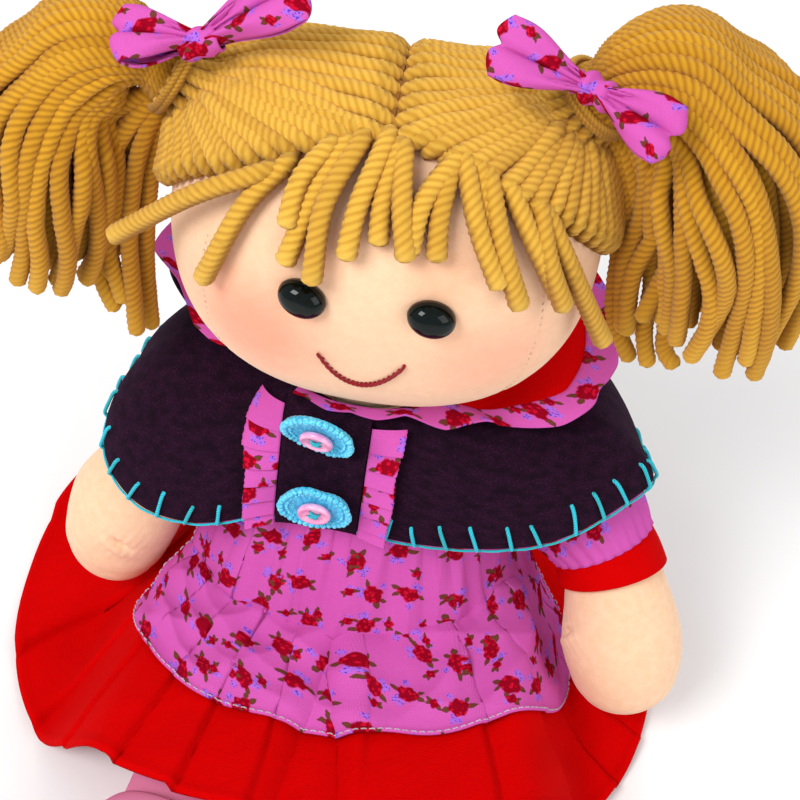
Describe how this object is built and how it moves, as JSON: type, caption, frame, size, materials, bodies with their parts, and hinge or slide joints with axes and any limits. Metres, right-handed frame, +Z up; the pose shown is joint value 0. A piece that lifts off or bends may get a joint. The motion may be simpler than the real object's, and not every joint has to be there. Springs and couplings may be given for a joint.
{
  "type": "rag doll",
  "caption": "Seated stuffed rag doll with yarn pigtails, a hooded felt cape, a print dress and a red skirt; its head, pigtails, arms and legs move.",
  "frame": {"origin": "on the table, in the middle of the stuffed body's flat seat", "axes": "+Z up, the doll faces -Y, and its own left is +X"},
  "size_m": [0.2426, 0.2355, 0.2556],
  "materials": {
    "skin_cotton": "plain woven cotton, matt",
    "yarn": "plied acrylic yarn",
    "floral_cotton": "printed cotton, matt",
    "felt": "dark felt, very matt",
    "red_cotton": "plain woven cotton, matt",
    "pink_cotton": "plain woven cotton, matt",
    "satin": "satin ribbon, soft sheen",
    "button_plastic": "gloss",
    "eye_plastic": "high gloss",
    "thread": "embroidery thread"
  },
  "bodies": {
    "head": {"head": "skin_cotton", "mouth_stitch": "thread", "fringe": "yarn", "eye_left": "eye_plastic", "eye_right": "eye_plastic", "hair_left": "yarn", "hair_right": "yarn", "hair_tie_left": "yarn", "hair_tie_right": "yarn"},
    "neck": {"neck": "skin_cotton"},
    "pigtail_left": {"pigtail_left": "yarn", "bow_left": "floral_cotton", "bow_knot_left": "floral_cotton"},
    "arm_left": {"arm_left": "skin_cotton", "sleeve_left": "floral_cotton", "cuff_left": "red_cotton"},
    "leg_left": {"leg_left": "pink_cotton", "foot_left": "pink_cotton"},
    "pigtail_right": {"pigtail_right": "yarn", "bow_right": "floral_cotton", "bow_knot_right": "floral_cotton"},
    "arm_right": {"arm_right": "skin_cotton", "sleeve_right": "floral_cotton", "cuff_right": "red_cotton"},
    "leg_right": {"leg_right": "pink_cotton", "foot_right": "pink_cotton"},
    "torso": {"torso": "skin_cotton", "bodice": "floral_cotton", "skirt": "red_cotton", "apron": "floral_cotton", "cape_left": "felt", "cape_right": "felt", "placket": "felt", "ruffle_left": "floral_cotton", "ruffle_right": "floral_cotton", "rosette_top": "satin", "rosette_bottom": "satin", "button_top": "button_plastic", "button_bottom": "button_plastic", "hood": "felt", "hood_lining": "red_cotton", "hood_trim": "floral_cotton"}
  },
  "joints": [
    {"name": "neck_turn", "type": "hinge", "parent": "torso", "child": "neck", "pos_m": [0, 0, 0.118], "axis": [0, 0, 1], "range_deg": [-18, 18], "deforming": ["neck"]},
    {"name": "head_nod", "type": "hinge", "parent": "neck", "child": "head", "pos_m": [0, 0, 0.118], "axis": [1, 0, 0], "range_deg": [-12, 0], "deforming": ["neck"]},
    {"name": "pigtail_lift_left", "type": "hinge", "parent": "head", "child": "pigtail_left", "pos_m": [0.0492, 0, 0.22423], "axis": [0, -1, 0], "range_deg": [0, 25]},
    {"name": "shoulder_left", "type": "hinge", "parent": "torso", "child": "arm_left", "pos_m": [0.05147, -0.004, 0.096], "axis": [-1, 0, 0], "range_deg": [0, 75], "deforming": ["cape_left"]},
    {"name": "hip_left", "type": "hinge", "parent": "torso", "child": "leg_left", "pos_m": [0.024, -0.028, 0.0175], "axis": [0.9781, 0.2079, 0], "range_deg": [0, 90]},
    {"name": "pigtail_lift_right", "type": "hinge", "parent": "head", "child": "pigtail_right", "pos_m": [-0.06, 0, 0.21378], "axis": [0, 1, 0], "range_deg": [0, 20]},
    {"name": "shoulder_right", "type": "hinge", "parent": "torso", "child": "arm_right", "pos_m": [-0.05147, -0.004, 0.096], "axis": [-1, 0, 0], "range_deg": [0, 75], "deforming": ["cape_right"]},
    {"name": "hip_right", "type": "hinge", "parent": "torso", "child": "leg_right", "pos_m": [-0.024, -0.028, 0.0175], "axis": [0.9781, -0.2079, 0], "range_deg": [0, 90]}
  ]
}
